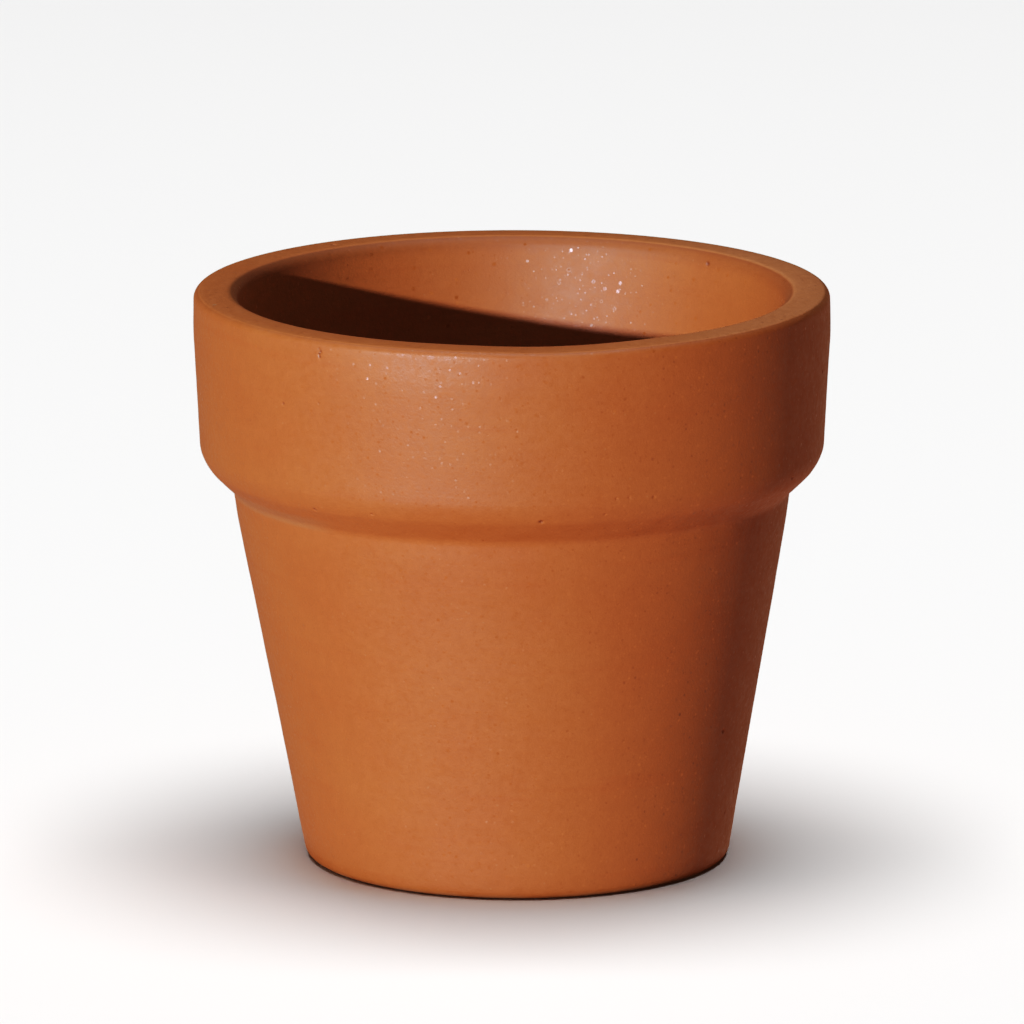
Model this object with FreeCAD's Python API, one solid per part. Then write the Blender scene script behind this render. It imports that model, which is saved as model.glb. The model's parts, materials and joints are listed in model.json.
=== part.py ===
import FreeCAD, Part
import math
import os

# Terracotta flower pot: one piece of fired clay, turned about the Z axis.
# Millimetres. Z = 0 is the surface that the pot stands on, +Z points out of its mouth.

# --- Driving dimensions -----------------------------------------------------
POT_HEIGHT = 99.4

# Collar: the thick band round the mouth.
COLLAR_TOP_RADIUS = 55.0         # at the lip, before the lip's edge is rounded
COLLAR_FOOT_RADIUS = 53.7        # at the collar's lower edge, before that edge is rounded
COLLAR_FOOT_HEIGHT = 70.2
COLLAR_FOOT_ROUNDING = 9.5       # the full, soft lower edge

# Crease: where the underside of the collar meets the wall.
CREASE_RADIUS = 48.0
CREASE_HEIGHT = 65.3
CREASE_ROUNDING = 1.3

# Foot of the wall: where the wall's line meets the ground, before rounding.
FOOT_RADIUS = 36.6
FOOT_ROUNDING = 3.2

# Lip: flat on top between two softened edges.
LIP_OUTER_ROUNDING = 1.7
LIP_INNER_ROUNDING = 1.4

# Inside: one plain cone down to the floor.
MOUTH_RADIUS = 47.4
FLOOR_RADIUS = 32.4              # where the cone's line meets the floor, before rounding
FLOOR_HEIGHT = 7.5
FLOOR_ROUNDING = 5.0

# Underside: a shallow dish inside the ring that the pot stands on.
DISH_RADIUS = 27.0
DISH_DEPTH = 1.0
DISH_SLOPE_RUN = 2.5             # how far inwards the dish takes to reach its full depth

# Drainage hole through the middle of the floor.
DRAIN_RADIUS = 6.0
DRAIN_EDGE_ROUNDING = 0.8

# Two points nearer than this are one point.
SAME_POINT = 1.0e-6


def direction(start, end):
    """Unit vector that points from start to end."""
    step = end - start
    step.normalize()
    return step


def corner_arc(before, corner, after, rounding):
    """Start, middle and end of the arc that rounds a corner between two straight runs."""
    back = direction(corner, before)
    ahead = direction(corner, after)
    half_angle = 0.5 * math.acos(back.dot(ahead))
    setback = rounding / math.tan(half_angle)
    inwards = direction(FreeCAD.Vector(), back + ahead)
    to_middle = rounding / math.sin(half_angle) - rounding
    return corner + back * setback, corner + inwards * to_middle, corner + ahead * setback


def rounded_outline(section):
    """Closed wire round a section given as corners of (radius, height, rounding)."""
    corners = [FreeCAD.Vector(radius, 0.0, height) for radius, height, _ in section]
    following = corners[1:] + corners[:1]
    arcs = []
    for index, (_, _, rounding) in enumerate(section):
        arcs.append(corner_arc(corners[index - 1], corners[index], following[index], rounding))
    edges = []
    for index, (start, middle, end) in enumerate(arcs):
        run_start = arcs[index - 1][2]
        if run_start.distanceToPoint(start) > SAME_POINT:
            edges.append(Part.LineSegment(run_start, start).toShape())
        if start.distanceToPoint(end) > SAME_POINT:
            edges.append(Part.Arc(start, middle, end).toShape())
    return Part.Wire(edges)


def pot():
    """The whole pot: its half section, turned once round the Z axis."""
    section = [
        # (radius, height, rounding), from the drainage hole outwards, up and back inside
        (DRAIN_RADIUS, DISH_DEPTH, DRAIN_EDGE_ROUNDING),
        (DISH_RADIUS - DISH_SLOPE_RUN, DISH_DEPTH, 0.0),
        (DISH_RADIUS, 0.0, 0.0),
        (FOOT_RADIUS, 0.0, FOOT_ROUNDING),
        (CREASE_RADIUS, CREASE_HEIGHT, CREASE_ROUNDING),
        (COLLAR_FOOT_RADIUS, COLLAR_FOOT_HEIGHT, COLLAR_FOOT_ROUNDING),
        (COLLAR_TOP_RADIUS, POT_HEIGHT, LIP_OUTER_ROUNDING),
        (MOUTH_RADIUS, POT_HEIGHT, LIP_INNER_ROUNDING),
        (FLOOR_RADIUS, FLOOR_HEIGHT, FLOOR_ROUNDING),
        (DRAIN_RADIUS, FLOOR_HEIGHT, DRAIN_EDGE_ROUNDING),
    ]
    half_section = Part.Face(rounded_outline(section))
    return half_section.revolve(FreeCAD.Vector(), FreeCAD.Vector(0.0, 0.0, 1.0), 360.0)


def write_node(name, shape):
    """Write one node's STEP file and print what it measures."""
    shape.exportStep(f"parts/{name}.step")
    box = shape.optimalBoundingBox()
    print(name, shape.ShapeType, "valid:", shape.isValid(), "cm3:", round(shape.Volume / 1000.0, 2))
    print("box from", round(box.XMin, 3), round(box.YMin, 3), round(box.ZMin, 3))
    print("box to", round(box.XMax, 3), round(box.YMax, 3), round(box.ZMax, 3))


os.makedirs("parts", exist_ok=True)
write_node("pot", pot())
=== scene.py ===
import json
import math
import random

import bmesh
import bpy
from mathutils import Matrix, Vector

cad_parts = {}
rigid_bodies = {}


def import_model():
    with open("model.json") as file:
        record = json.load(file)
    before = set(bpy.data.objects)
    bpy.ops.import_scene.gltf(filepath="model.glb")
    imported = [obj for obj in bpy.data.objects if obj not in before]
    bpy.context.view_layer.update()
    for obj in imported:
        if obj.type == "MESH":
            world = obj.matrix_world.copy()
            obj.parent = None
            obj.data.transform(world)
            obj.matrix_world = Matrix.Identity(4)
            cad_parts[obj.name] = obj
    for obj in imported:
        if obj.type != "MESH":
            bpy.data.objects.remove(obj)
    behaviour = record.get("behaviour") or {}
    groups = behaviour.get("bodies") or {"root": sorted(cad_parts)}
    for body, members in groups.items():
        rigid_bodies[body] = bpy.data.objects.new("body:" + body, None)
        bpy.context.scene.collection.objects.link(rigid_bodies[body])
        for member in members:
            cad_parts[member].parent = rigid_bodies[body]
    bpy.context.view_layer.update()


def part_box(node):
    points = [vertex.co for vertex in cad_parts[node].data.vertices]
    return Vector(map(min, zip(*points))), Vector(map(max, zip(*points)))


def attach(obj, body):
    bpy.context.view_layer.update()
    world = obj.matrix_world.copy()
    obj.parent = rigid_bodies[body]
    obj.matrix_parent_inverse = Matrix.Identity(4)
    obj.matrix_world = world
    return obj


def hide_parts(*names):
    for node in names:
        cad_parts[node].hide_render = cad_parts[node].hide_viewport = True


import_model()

# --- The pot --------------------------------------------------------------------------------
# One lump of red clay, turned on a wheel and fired once with no glaze. The disc of the foot is
# drawn up and out, turned in at the lip, drawn down to the floor and pierced for drainage. Then
# its edges are softened, and drying pulls it a little out of true.

MM = 0.001
FACES_ROUND = 256

pot_low, pot_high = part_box("pot")
POT_HEIGHT = pot_high.z
COLLAR_RADIUS = pot_high.x - 0.05 * MM   # widest ring, a little below the lip
SHOULDER_HEIGHT = 92.8 * MM              # where the collar starts to ease in towards the lip
LIP_RADIUS = COLLAR_RADIUS - 0.16 * MM
LIP_EDGE_HEIGHT = POT_HEIGHT - 0.15 * MM
LIP_CROWN_RADIUS = 50.9 * MM             # the lip's top is very slightly domed
MOUTH_EDGE_HEIGHT = POT_HEIGHT - 0.06 * MM
COLLAR_FOOT_RADIUS = 53.65 * MM
COLLAR_FOOT_HEIGHT = 70.2 * MM
CREASE_RADIUS = 47.95 * MM
CREASE_HEIGHT = 64.8 * MM
WALL_TOP_RADIUS = 47.35 * MM             # just under the crease, where the wall's taper starts
WALL_TOP_HEIGHT = 60.0 * MM
FOOT_RADIUS = 36.5 * MM
MOUTH_RADIUS = 47.4 * MM
FLOOR_RADIUS = 32.4 * MM
FLOOR_HEIGHT = 7.5 * MM
DISH_RADIUS = 27.0 * MM
DISH_FLAT_RADIUS = 24.5 * MM
DISH_DEPTH = 1.0 * MM
DRAIN_RADIUS = 6.0 * MM


def choose(piece, kind, wanted):
    """In edit mode, select only the piece's corners, edges or faces that pass the test."""
    clay = bmesh.from_edit_mesh(piece.data)
    bpy.ops.mesh.select_all(action="DESELECT")
    for part in getattr(clay, kind):
        if wanted(part):
            part.select_set(True)
    clay.select_flush_mode()
    bmesh.update_edit_mesh(piece.data)


def at_ring(radius, height, slack=0.02 * MM):
    """Test for an edge or face whose every corner lies on one ring round the axis."""
    def wanted(part):
        return all(
            abs(corner.co.xy.length - radius) < slack and abs(corner.co.z - height) < slack
            for corner in part.verts
        )
    return wanted


def draw_to(radius, height, from_radius, from_height):
    """Extrude the selected disc, then bring it to a new radius and height."""
    bpy.ops.mesh.extrude_region_move(
        TRANSFORM_OT_translate={"value": (0.0, 0.0, height - from_height)}
    )
    share = radius / from_radius
    bpy.ops.transform.resize(value=(share, share, 1.0), center_override=(0.0, 0.0, height))


bpy.ops.object.select_all(action="DESELECT")
bpy.ops.mesh.primitive_circle_add(
    vertices=FACES_ROUND, radius=FOOT_RADIUS, fill_type="NGON", location=(0.0, 0.0, 0.0)
)
pot = bpy.context.object
pot.name = "clay_pot"
bpy.ops.object.mode_set(mode="EDIT")
bpy.ops.mesh.select_mode(type="FACE")
bpy.ops.mesh.select_all(action="SELECT")

stations = [
    (FOOT_RADIUS, 0.0),
    (WALL_TOP_RADIUS, WALL_TOP_HEIGHT),
    (CREASE_RADIUS, CREASE_HEIGHT),
    (COLLAR_FOOT_RADIUS, COLLAR_FOOT_HEIGHT),
    (COLLAR_RADIUS, SHOULDER_HEIGHT),
    (LIP_RADIUS, LIP_EDGE_HEIGHT),
    (LIP_CROWN_RADIUS, POT_HEIGHT),
    (MOUTH_RADIUS, MOUTH_EDGE_HEIGHT),
    (FLOOR_RADIUS, FLOOR_HEIGHT),
    (DRAIN_RADIUS, FLOOR_HEIGHT),
]
for (from_radius, from_height), (radius, height) in zip(stations, stations[1:]):
    draw_to(radius, height, from_radius, from_height)
bpy.ops.mesh.delete(type="FACE")

choose(pot, "faces", at_ring(FOOT_RADIUS, 0.0))
draw_to(DISH_RADIUS, 0.0, FOOT_RADIUS, 0.0)
draw_to(DISH_FLAT_RADIUS, DISH_DEPTH, DISH_RADIUS, 0.0)
draw_to(DRAIN_RADIUS, DISH_DEPTH, DISH_FLAT_RADIUS, DISH_DEPTH)
bpy.ops.mesh.delete(type="FACE")

bpy.ops.mesh.select_mode(type="EDGE")
at_floor = at_ring(DRAIN_RADIUS, FLOOR_HEIGHT)
at_dish = at_ring(DRAIN_RADIUS, DISH_DEPTH)
choose(pot, "edges", lambda edge: at_floor(edge) or at_dish(edge))
bpy.ops.mesh.bridge_edge_loops()
bpy.ops.mesh.select_all(action="SELECT")
bpy.ops.mesh.normals_make_consistent(inside=False)

# Each edge is softened as a wet sponge leaves it: (radius, height, how far back, steps).
softened = [
    (FOOT_RADIUS, 0.0, 1.4 * MM, 6),
    (WALL_TOP_RADIUS, WALL_TOP_HEIGHT, 2.5 * MM, 4),
    (CREASE_RADIUS, CREASE_HEIGHT, 0.8 * MM, 5),
    (COLLAR_FOOT_RADIUS, COLLAR_FOOT_HEIGHT, 2.5 * MM, 10),
    (COLLAR_RADIUS, SHOULDER_HEIGHT, 1.6 * MM, 4),
    (LIP_RADIUS, LIP_EDGE_HEIGHT, 1.2 * MM, 7),
    (LIP_CROWN_RADIUS, POT_HEIGHT, 1.2 * MM, 3),
    (MOUTH_RADIUS, MOUTH_EDGE_HEIGHT, 1.75 * MM, 9),
    (FLOOR_RADIUS, FLOOR_HEIGHT, 4.2 * MM, 8),
    (DRAIN_RADIUS, FLOOR_HEIGHT, 0.8 * MM, 5),
    (DRAIN_RADIUS, DISH_DEPTH, 0.8 * MM, 5),
    (DISH_FLAT_RADIUS, DISH_DEPTH, 0.8 * MM, 3),
    (DISH_RADIUS, 0.0, 0.6 * MM, 3),
]
for radius, height, setback, steps in softened:
    choose(pot, "edges", at_ring(radius, height))
    bpy.ops.mesh.bevel(
        offset_type="OFFSET", offset=setback, segments=steps, profile=0.5, affect="EDGES"
    )

# Long plain stretches get rings about a millimetre apart, so that they can be uneven.
RING_SPACING = 1.1 * MM


def is_long_side(edge):
    """True for an edge that runs up or across the pot and is longer than the ring spacing."""
    first, second = (corner.co for corner in edge.verts)
    rise = abs(first.z - second.z)
    spread = abs(first.xy.length - second.xy.length)
    return math.hypot(rise, spread) > 1.5 * RING_SPACING


clay = bmesh.from_edit_mesh(pot.data)
lengths = sorted({round(edge.calc_length() / MM, 1) for edge in clay.edges if is_long_side(edge)})
for length in lengths:
    choose(
        pot,
        "edges",
        lambda edge: is_long_side(edge) and abs(edge.calc_length() - length * MM) < 0.051 * MM,
    )
    bpy.ops.mesh.subdivide(number_cuts=int(length * MM / RING_SPACING))
bpy.ops.mesh.select_all(action="SELECT")
bpy.ops.mesh.remove_doubles(threshold=0.001 * MM)
bpy.ops.mesh.normals_make_consistent(inside=False)

# Pinholes, where a grain of sand was dragged out of the wet clay, and one nick below the lip:
# (degrees round from the front, radius there, height, width across, depth).
pinholes = [
    (5.4, 52.4, 69.7, 1.2, 0.30),
    (-39.5, 52.2, 69.3, 1.1, 0.22),
    (-26.6, 52.5, 70.0, 0.9, 0.18),
    (-45.1, 54.3, 87.2, 0.9, 0.14),
    (-36.6, 54.3, 88.3, 0.8, 0.12),
    (19.2, 53.3, 73.3, 0.8, 0.13),
    (21.6, 53.3, 73.2, 0.8, 0.12),
    (26.6, 53.3, 73.0, 0.9, 0.14),
    (17.3, 52.9, 70.7, 0.8, 0.13),
    (133.5, 47.3, 97.3, 1.2, 0.24),
    (-142.0, 50.6, 99.4, 1.3, 0.30),
    (-36.2, 54.8, 96.3, 0.7, 0.16),
    (-36.3, 54.8, 96.8, 0.7, 0.20),
    (-36.0, 54.7, 97.3, 0.7, 0.18),
    (-36.4, 54.5, 97.8, 0.7, 0.12),
]
# The sides and back carry the same sort of marks.
OTHER_PINHOLES = 26
ON_COLLAR = 54.0
wall_taper = (WALL_TOP_RADIUS - FOOT_RADIUS) / WALL_TOP_HEIGHT
hand = random.Random(11)
for _ in range(OTHER_PINHOLES):
    height = hand.choice([hand.uniform(6.0, 58.0), hand.uniform(68.5, 95.0)])
    on_wall = FOOT_RADIUS / MM + wall_taper * height
    pinholes.append((
        hand.uniform(60.0, 300.0),
        on_wall if height < WALL_TOP_HEIGHT / MM else ON_COLLAR,
        height,
        hand.uniform(0.7, 1.3),
        hand.uniform(0.10, 0.26),
    ))


def place_of(degrees, radius, height):
    """A point on the pot, from degrees round from the front, radius and height in mm."""
    angle = math.radians(degrees)
    return Vector((radius * math.sin(angle), -radius * math.cos(angle), height)) * MM


places = [place_of(degrees, radius, height) for degrees, radius, height, _, _ in pinholes]
bpy.ops.mesh.select_mode(type="FACE")
for reach in (2.6 * MM, 1.9 * MM, 1.3 * MM):
    clay = bmesh.from_edit_mesh(pot.data)
    near = set()
    for face in clay.faces:
        centre = face.calc_center_median()
        if any((centre - place).length < reach for place in places):
            near.add(face.index)
    choose(pot, "faces", lambda face: face.index in near)
    bpy.ops.mesh.subdivide(number_cuts=1)
bpy.ops.mesh.select_mode(type="VERT")


def push_near(place, move_for, reach):
    """Push the corner nearest a place, and softly draw along the clay within reach of it."""
    clay = bmesh.from_edit_mesh(pot.data)
    nearest = min(clay.verts, key=lambda corner: (corner.co - place).length_squared)
    nearest_index = nearest.index
    move = move_for(nearest)
    choose(pot, "verts", lambda corner: corner.index == nearest_index)
    bpy.ops.transform.translate(
        value=move,
        use_proportional_edit=True,
        proportional_edit_falloff="SMOOTH",
        proportional_size=reach,
    )


for place, (_, _, _, width, depth) in zip(places, pinholes):
    push_near(place, lambda corner: corner.normal * -depth * MM, 0.5 * width * MM)

# The lip has been rubbed a little lower at the front, towards the right.
RUBBED = 0.28 * MM
RUBBED_REACH = 22.0 * MM
rubbed_place = place_of(8.0, 54.0, POT_HEIGHT / MM)
push_near(rubbed_place, lambda corner: (0.0, 0.0, -RUBBED), RUBBED_REACH)
bpy.ops.object.mode_set(mode="OBJECT")

# Drying and firing pull it a little out of true: the foot leans, the lip dips to one side.
LEAN = 1.0 * MM
DIP_LEFT = 0.10 * MM
DIP_FRONT = 0.16 * MM
CAGE_HALF = 60.0 * MM
bpy.ops.object.select_all(action="DESELECT")
bpy.ops.object.add(type="LATTICE", location=(0.0, 0.0, 0.5 * POT_HEIGHT))
cage = bpy.context.object
cage.scale = (2.0 * CAGE_HALF, 2.0 * CAGE_HALF, POT_HEIGHT)
cage.data.points_u = 2
cage.data.points_v = 2
cage.data.points_w = 4
cage.data.interpolation_type_w = "KEY_LINEAR"
layers = [LEAN, 0.5 * LEAN, 0.0, 0.0]
for index, point in enumerate(cage.data.points):
    layer = index // 4
    point.co_deform.x += layers[layer] / cage.scale.x
    if layer == 3 and point.co.x < 0.0:
        point.co_deform.z -= DIP_LEFT / cage.scale.z
    if layer == 3 and point.co.y < 0.0:
        point.co_deform.z -= DIP_FRONT / cage.scale.z
bpy.context.view_layer.objects.active = pot
pot.select_set(True)
cage.select_set(False)
bend = pot.modifiers.new("out of true", "LATTICE")
bend.object = cage
bpy.context.view_layer.update()
bpy.ops.object.modifier_apply(modifier=bend.name)
bpy.data.objects.remove(cage)


def uneven(name, size, stretch, strength, group=""):
    """Push the surface in and out with soft noise; a stretch over 1 draws it out round the pot."""
    noise = bpy.data.textures.new(name, type="CLOUDS")
    noise.noise_scale = size
    noise.noise_depth = 1
    bpy.ops.object.select_all(action="DESELECT")
    bpy.ops.object.add(type="EMPTY", location=(0.0, 0.0, 0.0))
    measure = bpy.context.object
    measure.scale = (stretch, stretch, 1.0)
    bpy.ops.object.select_all(action="DESELECT")
    bpy.context.view_layer.objects.active = pot
    pot.select_set(True)
    push = pot.modifiers.new(name, "DISPLACE")
    push.texture = noise
    push.texture_coords = "OBJECT"
    push.texture_coords_object = measure
    push.mid_level = 0.5
    push.strength = strength
    push.vertex_group = group
    bpy.context.view_layer.update()
    bpy.ops.object.modifier_apply(modifier=push.name)
    bpy.data.objects.remove(measure)
    bpy.data.textures.remove(noise)


# The foot's bearing ring and the lip's top stay true; the crease is the roughest place.
FOOT_FADE = 4.0
LIP_FADE = 3.0
CREASE_MIDDLE = 66.5
CREASE_FADE = 6.5
standing = pot.vertex_groups.new(name="above the foot")
creased = pot.vertex_groups.new(name="crease")
for corner in pot.data.vertices:
    height = corner.co.z / MM
    radius = corner.co.xy.length / MM
    above_foot = max(0.0, height / FOOT_FADE)
    below_lip = max(0.0, (POT_HEIGHT / MM - height) / LIP_FADE)
    standing.add([corner.index], min(1.0, above_foot, below_lip), "REPLACE")
    from_crease = abs(height - CREASE_MIDDLE)
    if radius > 46.0 and from_crease < CREASE_FADE:
        creased.add([corner.index], 1.0 - from_crease / CREASE_FADE, "REPLACE")
uneven("hand wobble", 22.0 * MM, 1.6, 0.30 * MM, "above the foot")
uneven("turning rings", 3.2 * MM, 14.0, 0.05 * MM, "above the foot")
uneven("sponged skin", 4.5 * MM, 1.0, 0.035 * MM, "above the foot")
uneven("ragged crease", 3.6 * MM, 1.8, 0.30 * MM, "crease")
pot.vertex_groups.clear()

# Painted shade in the pinholes: each corner remembers how deep in one it is.
PINHOLE_SHADE_SPREAD = 0.6
depth_of = pot.data.attributes.new("pinhole", "FLOAT", "POINT")
for corner in pot.data.vertices:
    deepest = 0.0
    for place, (_, _, _, width, _) in zip(places, pinholes):
        away = (corner.co - place).length
        spread = PINHOLE_SHADE_SPREAD * width * MM
        if away < spread:
            deepest = max(deepest, 1.0 - away / spread)
    depth_of.data[corner.index].value = deepest

bpy.ops.object.select_all(action="DESELECT")
bpy.context.view_layer.objects.active = pot
pot.select_set(True)
bpy.ops.object.shade_smooth()

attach(pot, "root")
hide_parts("pot")


class Wire:
    """One node's output. Arithmetic on it adds the Math nodes that work it out.

    A wire with no output is where a tree's first node is added from.
    """

    def __init__(self, tree, socket):
        self.tree = tree
        self.socket = socket

    def add(self, kind, settings, sockets, output=0):
        """Add any node: its settings come first, then the values or links of its sockets."""
        node = self.tree.nodes.new(kind)
        for name, value in settings.items():
            setattr(node, name, value)
        for name, value in sockets.items():
            if isinstance(value, Wire):
                self.tree.links.new(value.socket, node.inputs[name])
            else:
                node.inputs[name].default_value = value
        return Wire(self.tree, node.outputs[output])

    def maths(self, operation, *values):
        return self.add("ShaderNodeMath", {"operation": operation}, dict(enumerate(values)))

    def __add__(self, other):
        return self.maths("ADD", self, other)

    def __radd__(self, other):
        return self.maths("ADD", other, self)

    def __sub__(self, other):
        return self.maths("SUBTRACT", self, other)

    def __rsub__(self, other):
        return self.maths("SUBTRACT", other, self)

    def __mul__(self, other):
        return self.maths("MULTIPLY", self, other)

    def __rmul__(self, other):
        return self.maths("MULTIPLY", other, self)

    def rise(self, low, high):
        """0 below low, 1 above high, and a smooth rise between; high may be under low."""
        return self.add(
            "ShaderNodeMapRange",
            {"interpolation_type": "SMOOTHSTEP"},
            {"Value": self, "From Min": low, "From Max": high},
        )

    def noise(self, size, detail=2.0, output="Fac"):
        """Soft noise read at this place, with lumps about one size across."""
        return self.add(
            "ShaderNodeTexNoise",
            {"noise_dimensions": "3D"},
            {"Vector": self, "Scale": 1.0 / size, "Detail": detail, "Roughness": 0.55},
            output,
        )

    def toward(self, colour, amount):
        """This colour, taken towards another by an amount from 0 to 1."""
        return self.add(
            "ShaderNodeMix",
            {"data_type": "RGBA", "clamp_factor": True},
            {0: amount, 6: self, 7: colour},
            2,
        )

    def lit(self, amount):
        """This colour, lighter or darker by a factor."""
        return self.add(
            "ShaderNodeVectorMath", {"operation": "SCALE"}, {0: self, "Scale": amount}
        )

    def shifted(self, other):
        """This place or direction, moved by another."""
        return self.add("ShaderNodeVectorMath", {"operation": "ADD"}, {0: self, 1: other})


terracotta = bpy.data.materials.new("terracotta")
terracotta.use_nodes = True
shader = terracotta.node_tree.nodes["Principled BSDF"]
shader.inputs["IOR"].default_value = 1.5
shader.inputs["Specular IOR Level"].default_value = 0.74
shader.inputs["Specular Tint"].default_value = (0.68, 0.79, 1.0, 1.0)

tree = terracotta.node_tree
place = Wire(tree, None).add("ShaderNodeTexCoord", {}, {}, "Object")
across = place.add("ShaderNodeSeparateXYZ", {}, {0: place}, "X")
along = place.add("ShaderNodeSeparateXYZ", {}, {0: place}, "Y")
height = place.add("ShaderNodeSeparateXYZ", {}, {0: place}, "Z")
radius = place.maths("SQRT", across * across + along * along)

# The potter's hand draws every line round the pot: a line's place is its height plus radius.
lathe = height + radius


def drawn_round(pitch, spread):
    """Where to read noise for lines of one pitch that fade over a spread round the pot."""
    ratio = pitch / spread
    return place.add(
        "ShaderNodeCombineXYZ",
        {},
        {"X": across * ratio, "Y": along * ratio, "Z": lathe},
    )


broad_lines = drawn_round(2.4 * MM, 45.0 * MM).noise(2.4 * MM, 2.0)
fine_lines = drawn_round(0.55 * MM, 30.0 * MM).noise(0.55 * MM, 3.0)
blotch = place.noise(26.0 * MM, 3.0)
mottle = place.noise(5.5 * MM, 3.0)
cloud = place.noise(2.6 * MM, 2.0)
pebble = place.noise(1.1 * MM, 2.0)
grain = place.noise(0.5 * MM, 2.0)
sand = place.noise(0.22 * MM, 1.0)

body_clay = (0.470, 0.158, 0.048, 1.0)
iron_red = (0.450, 0.134, 0.037, 1.0)
ochre = (0.494, 0.180, 0.058, 1.0)
underside_painted_light = (0.490, 0.163, 0.048, 1.0)
grey_slip_and_sheen = (0.440, 0.240, 0.130, 1.0)
pale_dust = (0.620, 0.350, 0.200, 1.0)
dark_hole = (0.150, 0.045, 0.018, 1.0)

start = place.add("ShaderNodeRGB", {}, {})
start.socket.default_value = body_clay
clay_colour = start.toward(ochre, blotch.rise(0.42, 0.72) * 0.45)
clay_colour = clay_colour.toward(iron_red, (1.0 - blotch).rise(0.48, 0.75) * 0.35)
clay_colour = clay_colour.toward(iron_red, mottle.rise(0.55, 0.8) * 0.18)
clay_colour = clay_colour.toward(iron_red, broad_lines.rise(0.54, 0.76) * 0.26)
clay_colour = clay_colour.toward(ochre, fine_lines.rise(0.58, 0.8) * 0.16)

# Under the collar, where the skin faces down, it is painted a little lighter: painted light
# standing in for light from below.
outside = radius.rise(45.5 * MM, 46.5 * MM)
band_foot = height.rise(CREASE_HEIGHT - 0.8 * MM, CREASE_HEIGHT + 0.4 * MM)
band_top = height.rise(COLLAR_FOOT_HEIGHT + 0.8 * MM, COLLAR_FOOT_HEIGHT - 1.0 * MM)
band = band_foot * band_top * outside
# This mix is painted light, not the clay's own colour.
clay_colour = clay_colour.toward(underside_painted_light, band * (0.55 + 0.4 * mottle))
# A smear of grey slip has dried in the crease on the left.
slip_foot = height.rise(CREASE_HEIGHT - 1.0 * MM, CREASE_HEIGHT - 0.2 * MM)
slip_top = height.rise(CREASE_HEIGHT + 2.4 * MM, CREASE_HEIGHT + 1.2 * MM)
slip_ring = slip_foot * slip_top * outside
slip_side = across.rise(-29.0 * MM, -36.0 * MM) * along.rise(2.0 * MM, -8.0 * MM)
clay_colour = clay_colour.toward(grey_slip_and_sheen, slip_ring * slip_side * 0.38)

# The lip's upward faces are painted paler: painted light from above and painted sheen. The foot
# and underside are dusty from the shelf.
surface = place.add("ShaderNodeNewGeometry", {}, {}, "Normal")
facing_up = place.add("ShaderNodeSeparateXYZ", {}, {0: surface}, "Z").rise(0.86, 0.98)
lip_top = facing_up * height.rise(96.0 * MM, 97.0 * MM)
clay_colour = clay_colour.toward(ochre, lip_top * (0.25 + 0.3 * mottle)).lit(1.0 + 0.34 * lip_top)
# The right half of the lip's top is painted greyer and lighter still: painted sheen.
painted_sheen_right = lip_top * across.rise(0.0, 50.0 * MM)
clay_colour = clay_colour.toward(grey_slip_and_sheen, painted_sheen_right * 0.40).lit(1.0 + 0.20 * painted_sheen_right)
# Just inside the mouth the clay is painted darker: painted shade on the inner rounding of the lip.
MID_WALL_RADIUS = 34.0 * MM      # where the middle of the wall's thickness would meet the floor
MID_WALL_TAPER = 0.165
inside = (MID_WALL_RADIUS + MID_WALL_TAPER * height - radius).rise(1.2 * MM, 2.2 * MM)
# Painted shade on the mouth's inner rounding.
painted_mouth_shade = inside * height.rise(96.0 * MM, 98.4 * MM) * (1.0 - lip_top)
clay_colour = clay_colour.lit(1.0 - 0.17 * painted_mouth_shade)
dusty = height.rise(1.2 * MM, 0.1 * MM) * mottle.rise(0.35, 0.6)
clay_colour = clay_colour.toward(pale_dust, dusty * 0.35)

# Pale and dark sand grains in the skin, and painted shade down the pinholes.
specks = place.add(
    "ShaderNodeTexVoronoi",
    {"voronoi_dimensions": "3D", "feature": "F1"},
    {"Vector": place, "Scale": 1.0 / (1.9 * MM), "Randomness": 1.0},
    "Distance",
)
pale_speck = specks.rise(0.13, 0.07) * mottle.rise(0.5, 0.6)
dark_speck = specks.rise(0.10, 0.05) * mottle.rise(0.44, 0.36)
clay_colour = clay_colour.toward(pale_dust, pale_speck * 0.14)
clay_colour = clay_colour.toward(dark_hole, dark_speck * 0.05)
pinhole = place.add("ShaderNodeAttribute", {"attribute_name": "pinhole"}, {}, "Fac")
# Painted shade: darker down the pinholes.
clay_colour = clay_colour.toward(dark_hole, pinhole.rise(0.1, 0.9) * 0.65)
freckle = (cloud - 0.5) * 0.09 + (pebble - 0.5) * 0.12 + (grain - 0.5) * 0.10
clay_colour = clay_colour.lit(1.0 + freckle + (sand - 0.5) * 0.05)

# One grain of lime shows white on the lip.
lime_place = place_of(-75.0, 52.6, 98.9)
lime = place.add(
    "ShaderNodeVectorMath", {"operation": "DISTANCE"}, {0: place, 1: lime_place}, "Value"
)
clay_colour = clay_colour.toward(pale_dust, lime.rise(0.60 * MM, 0.30 * MM) * 0.8)


# Flakes of mica lie in the skin at all angles, and the ones turned to the light flash.
def flakes(spacing, reach, turn):
    """Where flakes of one spacing lie, and how far each turns the surface."""
    cells = ("ShaderNodeTexVoronoi", {"voronoi_dimensions": "3D", "feature": "F1"})
    sockets = {"Vector": place, "Scale": 1.0 / spacing, "Randomness": 1.0}
    lies = place.add(*cells, sockets, "Distance").rise(reach + 0.05, reach - 0.04)
    turned = place.add(*cells, sockets, "Color").shifted((-0.5, -0.5, -0.5))
    return lies, turned.lit(lies * turn)


# The inside was pressed, not sponged, so its skin is a little drier and shows more of them.
mica, mica_turn = flakes(2.4 * MM, 0.105 + 0.03 * inside, 0.36 - 0.06 * inside)
mica_dust, dust_turn = flakes(0.95 * MM, 0.24 - 0.07 * inside, 0.24)

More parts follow.
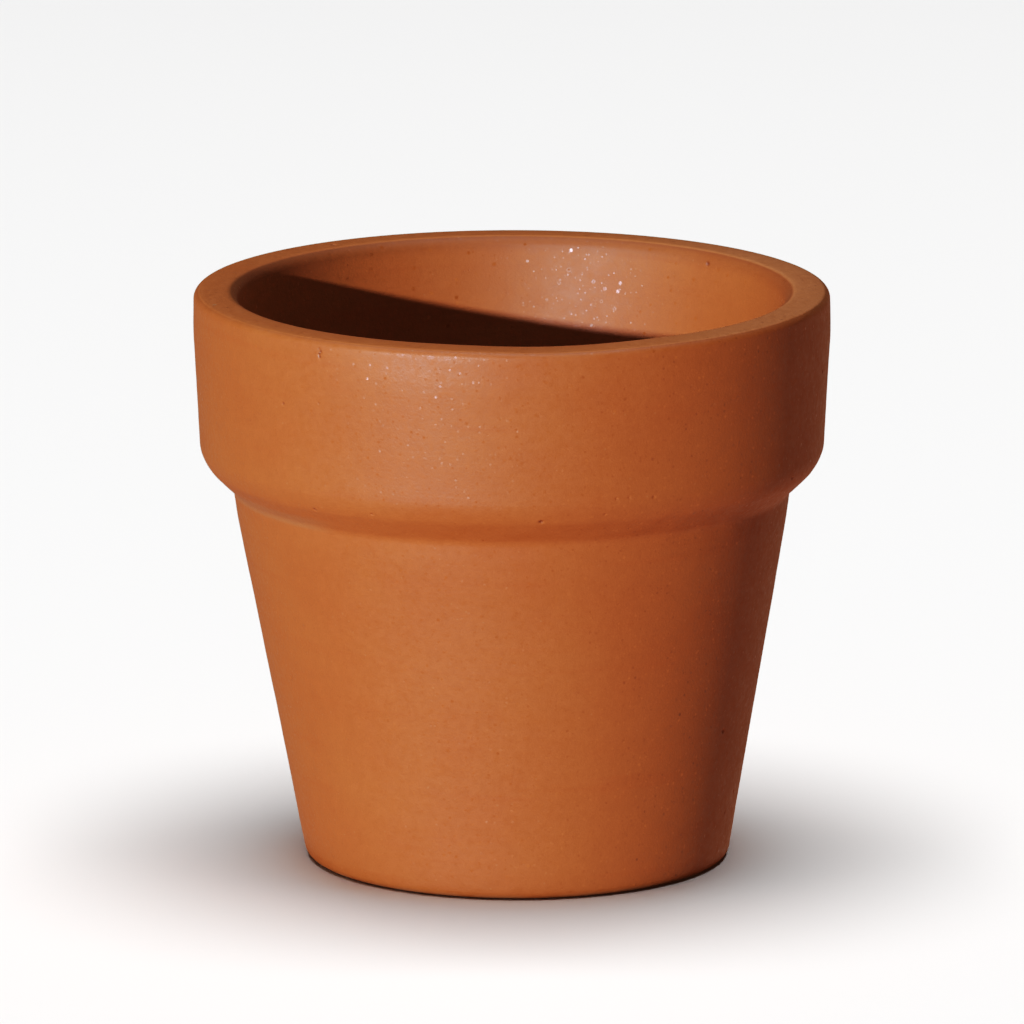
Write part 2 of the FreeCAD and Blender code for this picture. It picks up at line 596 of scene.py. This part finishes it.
relief = (
    (grain - 0.5) * 0.030 * MM
    + (pebble - 0.5) * 0.018 * MM
    + (sand - 0.5) * 0.010 * MM
    + (fine_lines - 0.5) * 0.010 * MM
    + (broad_lines - 0.5) * 0.026 * MM
    - dark_speck * 0.02 * MM
)
skin = place.add(
    "ShaderNodeBump",
    {},
    {"Strength": 1.0, "Distance": 1.0, "Height": relief},
    "Normal",
)
facing = place.add(
    "ShaderNodeVectorMath",
    {"operation": "NORMALIZE"},
    {0: skin.shifted(mica_turn).shifted(dust_turn)},
)

cloudy = (pebble - 0.5) * (0.50 - 0.36 * inside)
roughness = 0.530 + 0.075 * inside + (mottle - 0.5) * 0.12 + cloudy
mica_gloss = 0.32 - 0.01 * inside
roughness = roughness * (1.0 - mica) * (1.0 - mica_dust) + mica_gloss * mica + 0.43 * mica_dust

for name, wire in (("Base Color", clay_colour), ("Roughness", roughness), ("Normal", facing)):
    tree.links.new(wire.socket, shader.inputs[name])
pot.data.materials.clear()
pot.data.materials.append(terracotta)

# --- The floor --------------------------------------------------------------------------------
# A plain pale sheet of card that the pot stands on, laid flat. It isn't part of the pot.
# It neither lights the pot nor shades it, so that the lamps alone set the pot's tones.


def plain_matt(name, colour):
    """A matt material of one plain colour, for what isn't part of the pot."""
    matt = bpy.data.materials.new(name)
    matt.use_nodes = True
    matt_shader = matt.node_tree.nodes["Principled BSDF"]
    matt_shader.inputs["Base Color"].default_value = (*colour, 1.0)
    matt_shader.inputs["Roughness"].default_value = 0.9
    return matt


FLOOR_SIZE = 12.0
bpy.ops.object.select_all(action="DESELECT")
bpy.ops.mesh.primitive_plane_add(size=FLOOR_SIZE, location=(0.0, 0.0, -0.1 * MM))
floor = bpy.context.object
floor.name = "floor"
floor.data.materials.append(plain_matt("paper", (0.8, 0.8, 0.8)))
floor.visible_diffuse = False
floor.visible_glossy = False
floor.visible_shadow = False

# Where the pot stands, the floor is in its shade: a wide disc under the floor keeps light from
# coming up there, and a smaller one over it is the dark seen down the drainage hole.
dark = plain_matt("shade", (0.1, 0.06, 0.04))
for name, shade_radius, level in (
    ("shade_under", 39.0 * MM, -0.4 * MM),
    ("shade_in_hole", 30.0 * MM, -0.05 * MM),
):
    bpy.ops.object.select_all(action="DESELECT")
    bpy.ops.mesh.primitive_circle_add(
        vertices=64, radius=shade_radius, fill_type="NGON", location=(0.0, 0.0, level)
    )
    shade = bpy.context.object
    shade.name = name
    shade.data.materials.append(dark)
    shade.visible_shadow = False

# --- Light ----------------------------------------------------------------------------------
# A small hard key, low at the front left, as from a low sun; a wide soft panel overhead; and
# two soft panels behind, to the left and right. The room is dark above and warm below.
KEY_ROUND = math.radians(30.2)
KEY_HEIGHT = math.radians(9.45)
towards_key = Vector((
    -math.sin(KEY_ROUND) * math.cos(KEY_HEIGHT),
    -math.cos(KEY_ROUND) * math.cos(KEY_HEIGHT),
    math.sin(KEY_HEIGHT),
))
bpy.ops.object.light_add(type="SUN", location=towards_key * 2.0)
key = bpy.context.object
key.name = "key"
key.rotation_mode = "QUATERNION"
key.rotation_quaternion = towards_key.to_track_quat("Z", "Y")
key.data.energy = 3.06
key.data.angle = math.radians(1.2)   # how wide it looks, which softens its shadow's edge
pot_only = bpy.data.collections.new("pot only")
pot_only.objects.link(pot)
key.light_linking.receiver_collection = pot_only


def soft_panel(name, place, size, energy, colour, lit):
    """A large soft panel that faces the pot and lights one set of things."""
    bpy.ops.object.light_add(type="AREA", location=place)
    panel = bpy.context.object
    panel.name = name
    panel.rotation_mode = "QUATERNION"
    panel.rotation_quaternion = Vector(place).to_track_quat("Z", "Y")
    panel.data.size = size
    panel.data.energy = energy
    panel.data.color = colour
    panel.light_linking.receiver_collection = lit
    return panel


DAYLIGHT = (0.84, 0.92, 0.98)
SOFT_WHITE = (0.96, 0.98, 0.90)
soft_panel("overhead", (0.0, 0.0, 4.0), 3.0, 68.0, DAYLIGHT, pot_only)
back_left = soft_panel("back_left", (-3.2, 2.6, 0.9), 2.2, 16.0, SOFT_WHITE, pot_only)
back_right = soft_panel("back_right", (2.3, 3.4, 0.9), 2.2, 28.0, SOFT_WHITE, pot_only)
back_left.visible_glossy = False
back_right.visible_glossy = False
# The floor has a panel of its own, so that it stays pale without lighting the pot.
floor_only = bpy.data.collections.new("floor only")
floor_only.objects.link(floor)
soft_panel("floor_panel", (0.0, 0.0, 4.2), 3.0, 250.0, (1.0, 1.0, 1.0), floor_only)

WARM_BELOW = (0.46, 0.315, 0.25, 1.0)
DARK_ABOVE = (0.010, 0.010, 0.010, 1.0)
world = bpy.data.worlds.new("room")
bpy.context.scene.world = world
world.use_nodes = True
room = world.node_tree
room_light = room.nodes["Background"]
direction = Wire(room, None).add("ShaderNodeTexCoord", {}, {}, "Generated")
upward = direction.add("ShaderNodeSeparateXYZ", {}, {0: direction}, "Z").rise(-0.25, 0.25)
below = upward.add("ShaderNodeRGB", {}, {})
below.socket.default_value = WARM_BELOW
room.links.new(below.toward(DARK_ABOVE, upward).socket, room_light.inputs["Color"])
room_light.inputs["Strength"].default_value = 1.0

# --- Camera -----------------------------------------------------------------------------------
# A long lens, a good way off, a little above the pot and looking down at its middle. The far
# rim shows over the near one, with the top of the inside between them.
CAMERA_DISTANCE = 2.3
CAMERA_ASIDE = 0.05 * MM
CAMERA_RISE = math.radians(12.118)
AIM_HEIGHT = 60.0 * MM

bpy.ops.object.camera_add(
    location=(
        CAMERA_ASIDE,
        -CAMERA_DISTANCE * math.cos(CAMERA_RISE),
        AIM_HEIGHT + CAMERA_DISTANCE * math.sin(CAMERA_RISE),
    ),
    rotation=(math.radians(90.0) - CAMERA_RISE, 0.0, 0.0),
)
camera = bpy.context.object
camera.data.lens = 468.5
camera.data.sensor_width = 36.0
camera.data.clip_start = 0.1
camera.data.clip_end = 50.0
bpy.context.scene.camera = camera

# Print tones: plain, with a firmer toe so that shade goes deep.
view = bpy.context.scene.view_settings
view.view_transform = "Standard"
view.use_curve_mapping = True
tone = view.curve_mapping.curves[3]
for light_in, light_out in (
    (0.02, 0.007),
    (0.04, 0.016),
    (0.08, 0.043),
    (0.16, 0.120),
    (0.32, 0.315),
    (0.64, 0.610),
):
    tone.points.new(light_in, light_out)
view.curve_mapping.update()
